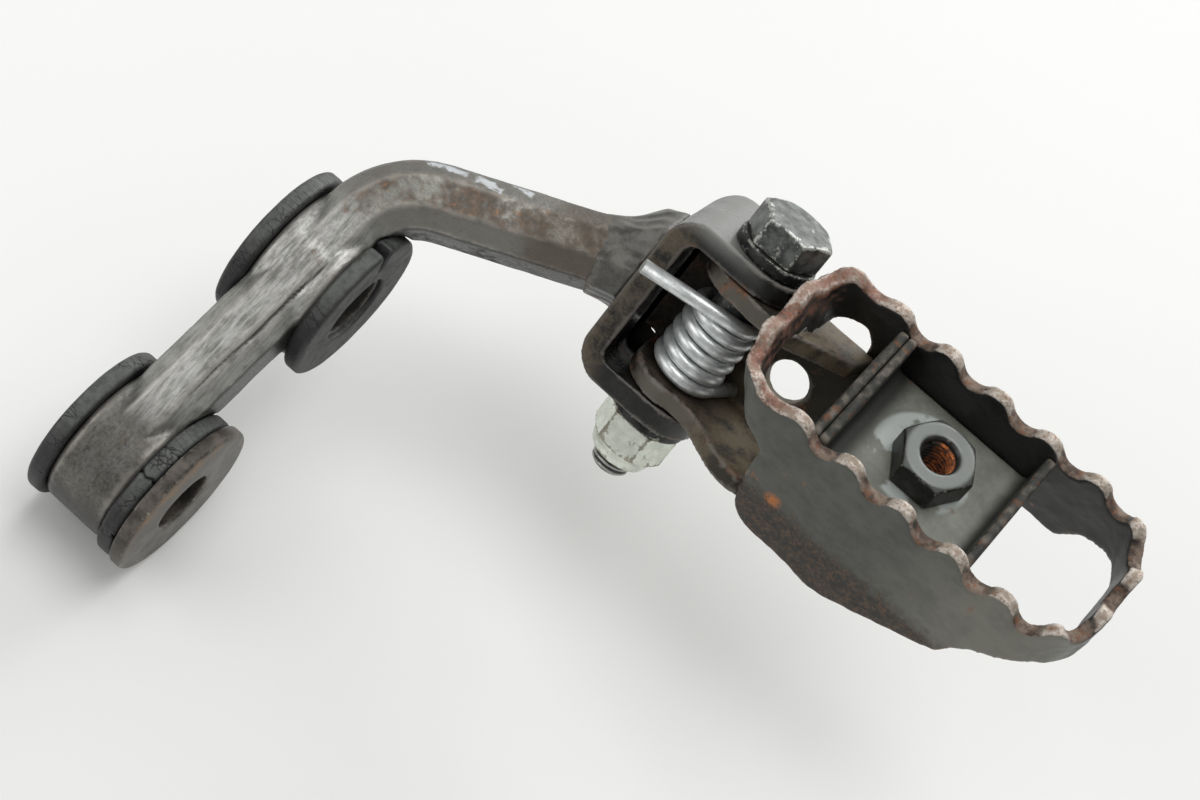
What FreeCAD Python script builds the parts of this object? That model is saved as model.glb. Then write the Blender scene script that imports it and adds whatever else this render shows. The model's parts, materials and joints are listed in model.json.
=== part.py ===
import FreeCAD, Part
import math
import os

V = FreeCAD.Vector
os.makedirs("parts", exist_ok=True)

# Row frame in millimetres: origin at the middle of the upper eye, X outward along the
# mounting bolts, Y forward, Z up and square to the tread.

# Mounting eyes with their rubbers and sleeves
EYE_SPACING = 58.8
LINK_ANGLE = 27.2
EYE_STEP_X = 3.0
EYE_R = 18.5
EYE_WIDTH = 17.0
EYE_EDGE = 1.0
EYE_BORE_R = 12.0
RUBBER_R = 20.0
RUBBER_THICK = 4.5
RUBBER_EDGE = 0.8
SPIGOT_SHORT = 0.2
SLEEVE_R = 9.0
SLEEVE_RECESS = 1.2
MOUNT_R = 7.7
TEAR_ANGLE = 49.0
TEAR_WIDTH = 4.0
PLATE_WASHER_R = 20.5
PLATE_WASHER_THICK = 3.8

# Forged bar of the support arm
BAR_WIDTH = 16.4
BAR_DEPTH = 20.0
BAR_CHAMFER = 4.5
BAR_RISE = 8.0
BEND_REACH = 25.5
BEND_SHIFT = 1.5
BEND_R = 20.0
BAR_RUNOUT = 14.0
SPOT_FACE_GAP = 0.4

# Tread datum: middle of the tread's top plane, above the pivot's side of the hinge
TREAD_X = 79.5
TREAD_Y = 40.9
TREAD_Z = 56.3

# Pivot, below the tread datum, with its axis leaning forward
PIVOT_BACK = 1.5
PIVOT_DROP = 28.4
HINGE_TILT = 60.0

# Clevis bent from plate
PLATE = 5.6
CLEVIS_INNER = 36.0
CLEVIS_BACK = 15.5
CLEVIS_BEND_R = 8.5
EAR_R = 11.2
EAR_SLOPE = 58.0
EAR_BOTTOM = 20.0
EAR_HEEL_R = 6.0
EAR_HOLE_R = 5.1
BAR_SEAT_H = -4.0
BEAD_FLARE = 5.0
BEAD_LENGTH = 13.0
BEAD_TIP = 0.3
BEAD_HOLLOW = 0.3

# Pivot bolt, washers and self-locking nut
BOLT_R = 5.0
BOLT_TIP = 42.5
BOLT_CHAMFER = 1.0
HEX_FLATS = 17.0
HEAD_HEIGHT = 7.6
HEX_EDGE = 1.1
WASHER_R = 10.0
WASHER_HOLE_R = 5.3
HEAD_WASHER = 3.0
NUT_WASHER = 2.5
NUT_HEX = 9.0
NUT_HEIGHT = 12.5
COLLAR_R = 7.9
COLLAR_LIP_R = 6.3
THREAD_GAP = 0.03
INSERT_R = 6.2
INSERT_HEIGHT = 2.4
INSERT_LIP = 0.6

# Hinge channel of the footpeg
LUG_PLATE = 4.5
LUG_GAP = 0.4
PIN_GAP = 0.06
LUG_R = 11.0
WEB_DEPTH = 14.0
CHANNEL_BEND_R = 6.0
STOP_GAP = 0.4
HEEL_HALF = 13.0
HEEL_H = -8.0
UPPER_LUG_TOP = 12.0
UPPER_LUG_BREAK = 14.0
UPPER_LUG_POINT = 29.5
NEAR_LUG_TOP = 20.0
NEAR_LUG_BREAK = 26.3
NEAR_LUG_END = 19.0
WEB_HOLE_R = 5.25
WEB_HOLE_X = 19.5
WEB_HOLE_P = -1.0

# Return spring
WIRE_R = 1.75
COIL_R = 7.15
COIL_PITCH = 3.7
COIL_TURNS = 5
COIL_ENTER = 20.0
COIL_STEPS = 14
SPRING_SIDE_GAP = 0.3
LEG_SHORT = 1.0
SEAT_GAP = 0.03

# Tread rim of bent strip
STRIP = 3.5
RIM_NEAR = 23.3
RIM_FAR = 20.5
RIM_INNER = 8.3
RIM_BULGE = 7.2
INNER_LEAN = 12.0
RIM_TIP = 105.0
INNER_R = 10.0
TIP_R = 15.5
BELLY_HALF = 26.0
FLARE_DROP = 28.0
BELLY_LOW = 44.0
END_HEIGHT = 8.0
TIP_HEIGHT = 12.5
FAR_HEIGHT = 24.0
ARCH_HEIGHT = 12.0
ARCH_END = 27.0

# Wave of teeth along the rim's top edge
TOOTH_PITCH = 14.3
TOOTH_FIRST = 28.2
TOOTH_VALLEYS = 4
TOOTH_DEPTH = 4.0
TOOTH_LAND = 0.12
END_VALLEYS = 5
INNER_TOOTH_DEPTH = 2.2

# Pan, cross plate and threaded insert inside the rim
SHEET = 2.5
PAN_START = 33.0
PAN_END = 75.5
PAN_DROP = 14.5
PAN_LIP = 3.0
PAN_BEND_R = 4.0
PLATE_LOW = 30.0
PLATE_CORNER = 22.0
INSERT_X = 55.1
INSERT_TALL = 8.0
INSERT_TOP_R = 8.0
INSERT_TURN = 32.0
INSERT_SINK = 0.8
INSERT_PILOT = 5.0
INSERT_PILOT_GAP = 0.05
INSERT_THREAD_R = 4.25
PAN_HOLE_R = 5.6

EYE_STEP_Y = EYE_SPACING * math.cos(math.radians(LINK_ANGLE))
EYE_STEP_Z = EYE_SPACING * math.sin(math.radians(LINK_ANGLE))
EYE_FACE = EYE_WIDTH / 2
RUBBER_FACE = EYE_FACE + RUBBER_THICK
TREAD = V(TREAD_X, TREAD_Y, TREAD_Z)
PIVOT = TREAD + V(-PIVOT_BACK, 0, -PIVOT_DROP)
EAR_IN = CLEVIS_INNER / 2
EAR_OUT = EAR_IN + PLATE
WALL_OUT = CLEVIS_BACK + PLATE
LUG_OUT = EAR_IN - LUG_GAP
LUG_IN = LUG_OUT - LUG_PLATE
CHANNEL_HEEL = CLEVIS_BACK - STOP_GAP
CHANNEL_END = PAN_START - SHEET + PIVOT_BACK
HALF = math.sqrt(0.5)
BEYOND = 2 * (TREAD_X + RIM_TIP)
RIM_BEYOND = RIM_TIP + 2 * STRIP


def turn_x(shape, angle, move):
    out = shape.copy()
    out.rotate(V(0, 0, 0), V(1, 0, 0), angle)
    out.translate(move)
    return out


def on_link(shape):
    return turn_x(shape, LINK_ANGLE, V(0, 0, 0))


def on_hinge(shape):
    return turn_x(shape, HINGE_TILT, PIVOT)


def on_tread(shape):
    out = shape.copy()
    out.translate(TREAD)
    return out


def line(a, b):
    return Part.makeLine(a, b)


def arc(a, b, c):
    return Part.Arc(a, b, c).toShape()


def polygon(points):
    return Part.Face(Part.makePolygon(points + [points[0]]))


def lathe(points, axis):
    """Turn a closed outline of (along, radius) pairs about the given axis."""
    side = V(axis.y, axis.z, axis.x)
    outline = [axis * along + side * radius for along, radius in points]
    return polygon(outline).revolve(V(0, 0, 0), axis, 360)


def ring(outer, inner, start, end, axis, edge):
    points = [(start, inner), (start, outer - edge), (start + edge, outer)]
    points += [(end - edge, outer), (end, outer - edge), (end, inner)]
    return lathe(points, axis)


def hexagon(flats, start, end, axis, side):
    """Hexagonal bar along an axis; side is the direction of one corner."""
    corner = flats / math.sqrt(3)
    turn = FreeCAD.Rotation(axis, 60)
    spoke = side * corner
    points = []
    for _ in range(6):
        points.append(axis * start + spoke)
        spoke = turn.multVec(spoke)
    return polygon(points).extrude(axis * (end - start))


def u_face(back, front, half, thick, bend, place):
    """Section of a U-bent plate: back is the web's outer face, front the open end."""
    inner = bend - thick
    mid = bend * (1 - HALF)
    mid_in = bend - inner * HALF
    edges = [line(place(front, -half), place(back + bend, -half))]
    edges.append(arc(place(back + bend, -half), place(back + mid, -half + mid), place(back, -half + bend)))
    edges.append(line(place(back, -half + bend), place(back, half - bend)))
    edges.append(arc(place(back, half - bend), place(back + mid, half - mid), place(back + bend, half)))
    edges.append(line(place(back + bend, half), place(front, half)))
    edges.append(line(place(front, half), place(front, half - thick)))
    edges.append(line(place(front, half - thick), place(back + bend, half - thick)))
    far_in = place(back + mid_in, half - mid_in)
    edges.append(arc(place(back + bend, half - thick), far_in, place(back + thick, half - bend)))
    edges.append(line(place(back + thick, half - bend), place(back + thick, -half + bend)))
    near_in = place(back + mid_in, -half + mid_in)
    edges.append(arc(place(back + thick, -half + bend), near_in, place(back + bend, -half + thick)))
    edges.append(line(place(back + bend, -half + thick), place(front, -half + thick)))
    edges.append(line(place(front, -half + thick), place(front, -half)))
    return Part.Face(Part.Wire(edges))


def save(shape, name):
    shape.removeSplitter().exportStep("parts/" + name + ".step")


X = V(1, 0, 0)
Y = V(0, 1, 0)
Z = V(0, 0, 1)


# Support arm: one forging, a chamfered bar that joins both eyes and bends to the clevis.
# It is drawn with Y along the row of eyes and turned into place.
def bar_section(grow, y):
    half_w = BAR_WIDTH / 2 + grow
    half_d = BAR_DEPTH / 2 + grow
    flat_w = half_w - BAR_CHAMFER - grow / 2
    flat_d = half_d - BAR_CHAMFER - grow / 2
    corners = [(half_w, flat_d), (flat_w, half_d), (-flat_w, half_d), (-half_w, flat_d)]
    corners += [(-half_w, -flat_d), (-flat_w, -half_d), (flat_w, -half_d), (half_w, -flat_d)]
    points = [V(x - EYE_STEP_X, y, BAR_RISE + z) for x, z in corners]
    return Part.makePolygon(points + [points[0]])


seat = V(-WALL_OUT, 0, BAR_SEAT_H)
seat_row = FreeCAD.Rotation(X, HINGE_TILT).multVec(seat) + PIVOT
seat_link = FreeCAD.Rotation(X, -LINK_ANGLE).multVec(seat_row)
bar_start = V(-EYE_STEP_X, -EYE_SPACING, BAR_RISE)
corner = V(BEND_SHIFT, BEND_REACH, BAR_RISE)
lead = (corner - bar_start).normalize()
reach = (seat_link - corner).normalize()
half_turn = math.acos(reach.dot(lead)) / 2
tangent = BEND_R * math.tan(half_turn)
inside = (reach - lead).normalize()
bend_start = corner - lead * tangent
bend_mid = corner + inside * (BEND_R / math.cos(half_turn) - BEND_R)
bend_end = corner + reach * tangent
bar_end = seat_link + reach * BAR_RUNOUT
path = [line(bar_start, bend_start), arc(bend_start, bend_mid, bend_end), line(bend_end, bar_end)]
bar = Part.Wire(path).makePipeShell([bar_section(0, bar_start.y)], True, False)
upper_eye = ring(EYE_R, EYE_BORE_R, -EYE_FACE, EYE_FACE, X, EYE_EDGE)
lower_eye = upper_eye.copy()
lower_eye.translate(V(-EYE_STEP_X, -EYE_SPACING, 0))
upper_hole = Part.makeCylinder(EYE_BORE_R, 3 * EYE_WIDTH, V(-1.5 * EYE_WIDTH, 0, 0), X)
lower_hole = upper_hole.copy()
lower_hole.translate(V(-EYE_STEP_X, -EYE_SPACING, 0))
beyond_wall = Part.makeBox(BEYOND, 2 * BEYOND, 2 * BEYOND, V(PIVOT.x - WALL_OUT, -BEYOND, -BEYOND))
whole_bar = on_link(bar)
arm = bar.fuse([upper_eye, lower_eye]).cut([upper_hole, lower_hole])
for centre in (V(0, 0, 0), V(-EYE_STEP_X, -EYE_SPACING, 0)):
    for side in (-1, 1):
        seat_place = centre + X * side * EYE_FACE
        spot_face = Part.makeCylinder(RUBBER_R + SPOT_FACE_GAP, 2 * RUBBER_THICK, seat_place, X * side)
        arm = arm.cut(spot_face)
arm = on_link(arm)
arm = arm.cut(beyond_wall)
save(arm, "support_arm")

# Weld bead where the bar meets the clevis
swing = FreeCAD.Rotation(Y, reach)


def bead_ring(grow, along):
    wire = bar_section(grow, 0)
    wire.translate(V(EYE_STEP_X, 0, -BAR_RISE))
    wire.rotate(V(0, 0, 0), swing.Axis, math.degrees(swing.Angle))
    wire.translate(seat_link + reach * along)
    return wire


bead_rings = [bead_ring(BEAD_TIP, -BEAD_LENGTH), bead_ring(BEAD_FLARE * BEAD_HOLLOW, -BEAD_LENGTH / 2)]
bead_rings += [bead_ring(BEAD_FLARE, 0), bead_ring(BEAD_FLARE, BAR_RUNOUT)]
bead = Part.makeLoft(bead_rings, True, True)
bead = on_link(bead).cut(beyond_wall).cut(whole_bar)
save(bead, "clevis_weld")


# Rubber grommets: a flange outside the eye and a spigot inside it
def grommet(side):
    axis = X * side
    points = [(SPIGOT_SHORT, SLEEVE_R), (SPIGOT_SHORT, EYE_BORE_R), (EYE_FACE, EYE_BORE_R)]
    points += [(EYE_FACE, RUBBER_R - RUBBER_EDGE), (EYE_FACE + RUBBER_EDGE, RUBBER_R)]
    points += [(RUBBER_FACE - RUBBER_EDGE, RUBBER_R), (RUBBER_FACE, RUBBER_R - RUBBER_EDGE)]
    points += [(RUBBER_FACE, SLEEVE_R)]
    return lathe(points, axis)


lower = V(-EYE_STEP_X, -EYE_STEP_Y, -EYE_STEP_Z)
tear_root = EYE_BORE_R + TEAR_WIDTH / 2
tear_rim = 1.2 * RUBBER_R
tear = polygon([V(0, tear_root, -TEAR_WIDTH / 6), V(0, tear_root, TEAR_WIDTH / 6),
                V(0, tear_rim, TEAR_WIDTH / 2), V(0, tear_rim, -TEAR_WIDTH / 2)])
tear.translate(X * EYE_FACE / 2)
tear = turn_x(tear.extrude(X * EYE_WIDTH), LINK_ANGLE + TEAR_ANGLE, V(0, 0, 0))
save(grommet(-1), "upper_inner_rubber")
save(grommet(1).cut(tear), "upper_outer_rubber")
for side, name in ((-1, "lower_inner_rubber"), (1, "lower_outer_rubber")):
    rubber = grommet(side)
    rubber.translate(lower)
    save(rubber, name)

sleeve_face = RUBBER_FACE - SLEEVE_RECESS
save(ring(SLEEVE_R, MOUNT_R, -sleeve_face, sleeve_face, X, 0.3), "upper_sleeve")
lower_sleeve = ring(SLEEVE_R, MOUNT_R, -sleeve_face, RUBBER_FACE, X, 0.3)
lower_sleeve.translate(lower)
save(lower_sleeve, "lower_sleeve")
plate_washer = ring(PLATE_WASHER_R, MOUNT_R, RUBBER_FACE, RUBBER_FACE + PLATE_WASHER_THICK, X, 0.6)
plate_washer.translate(lower)
save(plate_washer, "lower_plate_washer")

# Clevis, drawn with Y along the pivot and Z in the folding direction
clevis = u_face(-WALL_OUT, EAR_R + 1, EAR_OUT, PLATE, CLEVIS_BEND_R, lambda a, b: V(a, b, -EAR_BOTTOM))
clevis = clevis.extrude(Z * (EAR_BOTTOM + EAR_R))
slope = math.radians(EAR_SLOPE)
tip_low = V(EAR_R * math.cos(slope), 0, -EAR_R * math.sin(slope))
run = (EAR_BOTTOM + tip_low.z) / math.cos(slope)
toe = tip_low + V(-math.sin(slope), 0, -math.cos(slope)) * run
heel_in = V(EAR_HEEL_R - WALL_OUT, 0, -EAR_BOTTOM)
heel_mid = V(EAR_HEEL_R * (1 - HALF) - WALL_OUT, 0, EAR_HEEL_R * (1 - HALF) - EAR_BOTTOM)
heel_out = V(-WALL_OUT, 0, EAR_HEEL_R - EAR_BOTTOM)
top_back = V(-WALL_OUT, 0, EAR_R)
ear = [line(top_back, V(0, 0, EAR_R)), arc(V(0, 0, EAR_R), V(EAR_R, 0, 0), tip_low), line(tip_low, toe)]
ear += [line(toe, heel_in), arc(heel_in, heel_mid, heel_out), line(heel_out, top_back)]
ear_block = Part.Face(Part.Wire(ear))
ear_block.translate(V(0, -2 * EAR_OUT, 0))
clevis = clevis.common(ear_block.extrude(Y * 4 * EAR_OUT))
clevis = clevis.cut(Part.makeCylinder(EAR_HOLE_R, 4 * EAR_OUT, V(0, -2 * EAR_OUT, 0), Y))
save(on_hinge(clevis), "clevis")

# Pivot bolt with washers, self-locking nut and the nut's plastic ring
head_seat = EAR_OUT + HEAD_WASHER
head_end = head_seat + HEAD_HEIGHT
corner_r = HEX_FLATS / math.sqrt(3)
head_cap = lathe([(head_seat, 0), (head_seat, corner_r), (head_end - HEX_EDGE / 2, corner_r),
                  (head_end, corner_r - HEX_EDGE * 1.6), (head_end, 0)], Y)
head = hexagon(HEX_FLATS, head_seat, head_end, Y, X).common(head_cap)
shank = lathe([(head_seat, 0), (head_seat, BOLT_R), (BOLT_CHAMFER - BOLT_TIP, BOLT_R),
               (-BOLT_TIP, BOLT_R - BOLT_CHAMFER), (-BOLT_TIP, 0)], Y)
save(on_hinge(head.fuse(shank)), "pivot_bolt")
save(on_hinge(ring(WASHER_R, WASHER_HOLE_R, EAR_OUT, head_seat, Y, 0.3)), "head_washer")
nut_seat = EAR_OUT + NUT_WASHER
save(on_hinge(ring(WASHER_R, WASHER_HOLE_R, -nut_seat, -EAR_OUT, Y, 0.3)), "nut_washer")
hex_end = nut_seat + NUT_HEX
nut_end = nut_seat + NUT_HEIGHT
nut_hole = BOLT_R + THREAD_GAP
insert_end = nut_end - INSERT_LIP
insert_start = insert_end - INSERT_HEIGHT
nut_hex = hexagon(HEX_FLATS, nut_seat, hex_end, -Y, X)
nut_cap = lathe([(nut_seat, 0), (nut_seat, corner_r - HEX_EDGE), (nut_seat + HEX_EDGE / 2, corner_r),
                 (hex_end - HEX_EDGE, corner_r), (hex_end, corner_r - 1.6 * HEX_EDGE), (hex_end, 0)], -Y)
collar = lathe([(hex_end - 1, 0), (hex_end - 1, COLLAR_R), (hex_end + 1, COLLAR_R),
                (nut_end - 0.5, COLLAR_LIP_R + 0.8), (nut_end, COLLAR_LIP_R), (nut_end, 0)], -Y)
bore = lathe([(nut_seat - 1, 0), (nut_seat - 1, nut_hole), (insert_start, nut_hole), (insert_start, INSERT_R),
              (insert_end, INSERT_R), (insert_end, INSERT_R - 0.4), (nut_end + 1, INSERT_R - 0.4),
              (nut_end + 1, 0)], -Y)
save(on_hinge(nut_hex.common(nut_cap).fuse(collar).cut(bore)), "lock_nut")
insert_ring = ring(INSERT_R, nut_hole, insert_start, insert_end, -Y, 0.1)
save(on_hinge(insert_ring), "lock_nut_ring")

# Return spring: close coils round the bolt, one leg over the clevis wall, one on the web
over_wall = V(-CLEVIS_BACK, 0, EAR_R + WIRE_R * 1.06 + SEAT_GAP)
wall_distance = math.hypot(over_wall.x, over_wall.z)
leave = math.atan2(over_wall.z, over_wall.x) - math.acos(COIL_R / wall_distance)
enter = math.radians(COIL_ENTER)
web_touch = WEB_DEPTH - LUG_PLATE - WIRE_R * math.sin(enter) - SEAT_GAP
coil_start = -LUG_IN + SPRING_SIDE_GAP + WIRE_R
coil_turn = 2 * math.pi * COIL_TURNS + leave - enter
coil_count = COIL_TURNS * COIL_STEPS
away = V(math.sin(enter), 0, -math.cos(enter))
first = V(COIL_R * math.cos(enter), coil_start, COIL_R * math.sin(enter))
web_run = (first.z + web_touch) / math.cos(enter)
points = [first + away * web_run]
for k in range(coil_count + 1):
    angle = enter + coil_turn * k / coil_count
    rise = COIL_PITCH * coil_turn / (2 * math.pi) * k / coil_count
    points.append(V(COIL_R * math.cos(angle), coil_start + rise, COIL_R * math.sin(angle)))
last = points[-1]
onward = V(-math.sin(leave), 0, math.cos(leave))
leg_run = (last.x + WALL_OUT - LEG_SHORT) / math.sin(leave)
points.append(last + onward * leg_run)
hoops = []
for k, point in enumerate(points):
    ahead = points[min(k + 1, len(points) - 1)]
    behind = points[max(k - 1, 0)]
    into = (point - behind).normalize() if k else (ahead - point).normalize()
    out = (ahead - point).normalize() if ahead != point else into
    hoops.append(Part.Wire(Part.makeCircle(WIRE_R, point, into + out)))
spring = Part.makeLoft(hoops, True, True)
save(on_hinge(spring), "return_spring")


# Tread rim: a strip bent to a closed loop, flared on the near side, with a wave of teeth on top
def rim_outline(near, lean, inset, z):
    x0 = RIM_INNER + lean + inset
    bulge = RIM_BULGE + lean + inset
    x1 = RIM_TIP - inset
    yn = inset - near
    yf = RIM_FAR - inset
    r0 = INNER_R - inset
    r1 = TIP_R - inset
    m0 = r0 * (1 - HALF)
    m1 = r1 * (1 - HALF)
    edges = [line(V(x0 + r0, yn, z), V(x1 - r1, yn, z))]
    edges.append(arc(V(x1 - r1, yn, z), V(x1 - m1, yn + m1, z), V(x1, yn + r1, z)))
    edges.append(line(V(x1, yn + r1, z), V(x1, yf - r1, z)))
    edges.append(arc(V(x1, yf - r1, z), V(x1 - m1, yf - m1, z), V(x1 - r1, yf, z)))
    edges.append(line(V(x1 - r1, yf, z), V(x0 + r0, yf, z)))
    edges.append(arc(V(x0 + r0, yf, z), V(x0 + m0, yf - m0, z), V(x0, yf - r0, z)))
    edges.append(arc(V(x0, yf - r0, z), V(bulge, (yf + yn) / 2, z), V(x0, yn + r0, z)))
    edges.append(arc(V(x0, yn + r0, z), V(x0 + m0, yn + m0, z), V(x0 + r0, yn, z)))
    return Part.Wire(edges)


def rim_block(inset):
    top = rim_outline(RIM_NEAR, 0, inset, 0)
    waist = rim_outline(BELLY_HALF, INNER_LEAN, inset, -FLARE_DROP)
    flare = Part.makeLoft([top, waist], True, True)
    belly = Part.Face(waist).extrude(Z * (FLARE_DROP - BELLY_LOW))
    return flare.fuse(belly)


cavity = rim_block(STRIP)
strip = rim_block(0).cut(cavity)

belly_points = [V(27, 0, -34), V(31, 0, -39), V(44, 0, -40.2), V(52, 0, -41.6), V(62, 0, -37.8)]
belly_points += [V(76, 0, -31), V(82, 0, -27.5)]
belly_curve = Part.BSplineCurve()
belly_curve.interpolate(belly_points)
near_top = V(0, 0, TOOTH_DEPTH)
near_edge = [V(0, 0, -END_HEIGHT), V(14.5, 0, -END_HEIGHT), V(17, 0, -ARCH_HEIGHT), V(23.5, 0, -14.2)]
near_edge += [V(25.2, 0, -16), V(25.6, 0, -26), belly_points[0]]
tip_edge = [belly_points[-1], V(84, 0, -23.5), V(88, 0, -19), V(94, 0, -15), V(99, 0, -TIP_HEIGHT)]
tip_edge.append(V(RIM_BEYOND, 0, -TIP_HEIGHT))
tip_top = V(RIM_BEYOND, 0, TOOTH_DEPTH)
near_outline = [Part.makePolygon([near_top] + near_edge), belly_curve.toShape()]
near_outline.append(Part.makePolygon(tip_edge + [tip_top, near_top]))
near_face = Part.Face(Part.Wire([edge for part in near_outline for edge in part.Edges]))
far_edge = [V(0, 0, -END_HEIGHT), V(14, 0, -END_HEIGHT), V(16, 0, -ARCH_HEIGHT)]
far_edge.append(V(ARCH_END - 2.5, 0, -ARCH_HEIGHT))
far_edge += [V(ARCH_END, 0, -ARCH_HEIGHT - 3), V(ARCH_END + 1, 0, -FAR_HEIGHT), V(86, 0, -FAR_HEIGHT)]
far_edge += [V(90, 0, -18), V(99, 0, -TIP_HEIGHT), V(RIM_BEYOND, 0, -TIP_HEIGHT)]
far_face = polygon([near_top] + far_edge + [tip_top])
rim = strip.common(near_face.extrude(Y * -60)).fuse(strip.common(far_face.extrude(Y * 60)))


def valley(pitch, depth):
    """Face above one wave of the top edge, drawn from crest to crest about X = 0."""
    drop = depth + TOOTH_LAND
    reach = pitch / 2
    r = (reach * reach + drop * drop) / (4 * drop)
    turn = math.asin(reach / (2 * r)) / 2
    side = r * math.sin(turn)
    sag = r * (1 - math.cos(turn))
    crest = TOOTH_LAND
    low = crest - drop
    mid = crest - drop / 2
    edges = []
    edges.append(arc(V(-reach, 0, crest), V(side - reach, 0, crest - sag), V(-reach / 2, 0, mid)))
    edges.append(arc(V(-reach / 2, 0, mid), V(-side, 0, low + sag), V(0, 0, low)))
    edges.append(arc(V(0, 0, low), V(side, 0, low + sag), V(reach / 2, 0, mid)))
    edges.append(arc(V(reach / 2, 0, mid), V(reach - side, 0, crest - sag), V(reach, 0, crest)))
    edges.append(line(V(reach, 0, crest), V(reach, 0, crest + depth)))
    edges.append(line(V(reach, 0, crest + depth), V(-reach, 0, crest + depth)))
    edges.append(line(V(-reach, 0, crest + depth), V(-reach, 0, crest)))
    return Part.Face(Part.Wire(edges))


def end_valleys(x_from, x_end, r, depth):
    """Valleys spread evenly along the rim round one end, from the near side to the far side."""
    way = math.copysign(1, x_end - x_from)
    straight = abs(x_end - x_from) - r
    quarter = r * math.pi / 2
    half = (RIM_NEAR + RIM_FAR) / 2
    middle = (RIM_FAR - RIM_NEAR) / 2
    total = 2 * (straight + quarter + half - r)
    pitch = total / END_VALLEYS
    cutters = []
    for k in range(END_VALLEYS):
        along = pitch * (k + 0.5)
        flip = 1 if along <= total / 2 else -1
        along = min(along, total - along)
        angle = max(0, min(along - straight, quarter)) / r
        normal = V(way * math.sin(angle), -flip * math.cos(angle), 0)
        centre = V(x_end - way * r, middle + flip * (r - half), 0)
        if along < straight:
            centre.x = x_from + way * along
        if along > straight + quarter:
            centre.y = middle + flip * (r - half + along - straight - quarter)
        face = valley(pitch, depth)
        face.rotate(V(0, 0, 0), Z, math.degrees(math.atan2(normal.y, normal.x)) - 90)
        face.translate(centre + normal * (r - 2 * STRIP))
        cutters.append(face.extrude(normal * 4 * STRIP))
    return cutters


cutters = []
for k in range(TOOTH_VALLEYS):
    face = valley(TOOTH_PITCH, TOOTH_DEPTH)
    face.translate(V(TOOTH_FIRST + TOOTH_PITCH * (k + 0.5), -2 * RIM_NEAR, 0))
    cutters.append(face.extrude(Y * 4 * RIM_NEAR))
tooth_last = TOOTH_FIRST + TOOTH_PITCH * TOOTH_VALLEYS
cutters += end_valleys(tooth_last, RIM_TIP, TIP_R, TOOTH_DEPTH)
cutters += end_valleys(TOOTH_FIRST, RIM_INNER, INNER_R, INNER_TOOTH_DEPTH)
rim = rim.cut(cutters)
save(on_tread(rim), "tread_rim")

# Pan, cross plate and threaded insert
pan_mid = (PAN_START + PAN_END) / 2
pan = u_face(-PAN_DROP - SHEET, -PAN_LIP, (PAN_END - PAN_START) / 2, SHEET, PAN_BEND_R,
             lambda a, b: V(pan_mid + b, -2 * RIM_NEAR, a))
pan = pan.extrude(Y * 4 * RIM_NEAR).common(cavity)
pan = pan.cut(Part.makeCylinder(PAN_HOLE_R, 2 * PAN_DROP, V(INSERT_X, 0, -2 * PAN_DROP), Z))
save(on_tread(pan), "tread_pan")
plate_x = PAN_START - SHEET
plate = polygon([V(plate_x, -40, -PAN_LIP), V(plate_x, 40, -PAN_LIP), V(plate_x, 40, -PLATE_CORNER),
                 V(plate_x, RIM_FAR - STRIP, -PLATE_CORNER), V(plate_x, 10, -PLATE_LOW),
                 V(plate_x, -40, -PLATE_LOW)])
plate = plate.extrude(X * SHEET).common(cavity)
save(on_tread(plate), "cross_plate")
nut_top = INSERT_TALL - PAN_DROP
nut_shoulder = nut_top - (corner_r - INSERT_TOP_R) * math.tan(math.radians(INSERT_TURN))
nut_mouth = INSERT_THREAD_R + INSERT_SINK
nut_block = hexagon(HEX_FLATS, -PAN_DROP, nut_top, Z, X)
nut_turned = polygon([V(INSERT_THREAD_R, 0, -PAN_DROP), V(corner_r, 0, -PAN_DROP),
                      V(corner_r, 0, nut_shoulder), V(INSERT_TOP_R, 0, nut_top),
                      V(nut_mouth, 0, nut_top), V(INSERT_THREAD_R, 0, nut_top - INSERT_SINK)])
nut_block = nut_block.common(nut_turned.revolve(V(0, 0, 0), Z, 360))
pilot_r = PAN_HOLE_R - INSERT_PILOT_GAP
nut_pilot = ring(pilot_r, INSERT_THREAD_R, -PAN_DROP - INSERT_PILOT, -PAN_DROP, Z, 0.3)
nut_block = nut_block.fuse(nut_pilot)
nut_block.translate(V(INSERT_X, 0, 0))
save(on_tread(nut_block), "insert_nut")

# Hinge channel: a web below the spring with two unequal lugs, trimmed where it meets the rim
channel = u_face(-WEB_DEPTH, 2 * NEAR_LUG_TOP, LUG_OUT, LUG_PLATE, CHANNEL_BEND_R,
                 lambda a, b: V(-CHANNEL_HEEL, b, a))
channel = channel.extrude(X * (CHANNEL_HEEL + CHANNEL_END))
below = -WEB_DEPTH - 1


def lug_block(top_edges, end_points, reach_y):
    back = [V(CHANNEL_END, 0, below), V(-CHANNEL_HEEL, 0, below), V(-CHANNEL_HEEL, 0, HEEL_H)]
    back.append(V(-LUG_R, 0, 0))
    edges = Part.makePolygon(end_points + back).Edges
    edges.append(arc(V(-LUG_R, 0, 0), V(-LUG_R * HALF, 0, LUG_R * HALF), V(0, 0, LUG_R)))
    edges += top_edges
    return Part.Face(Part.Wire(edges)).extrude(Y * reach_y)


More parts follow.
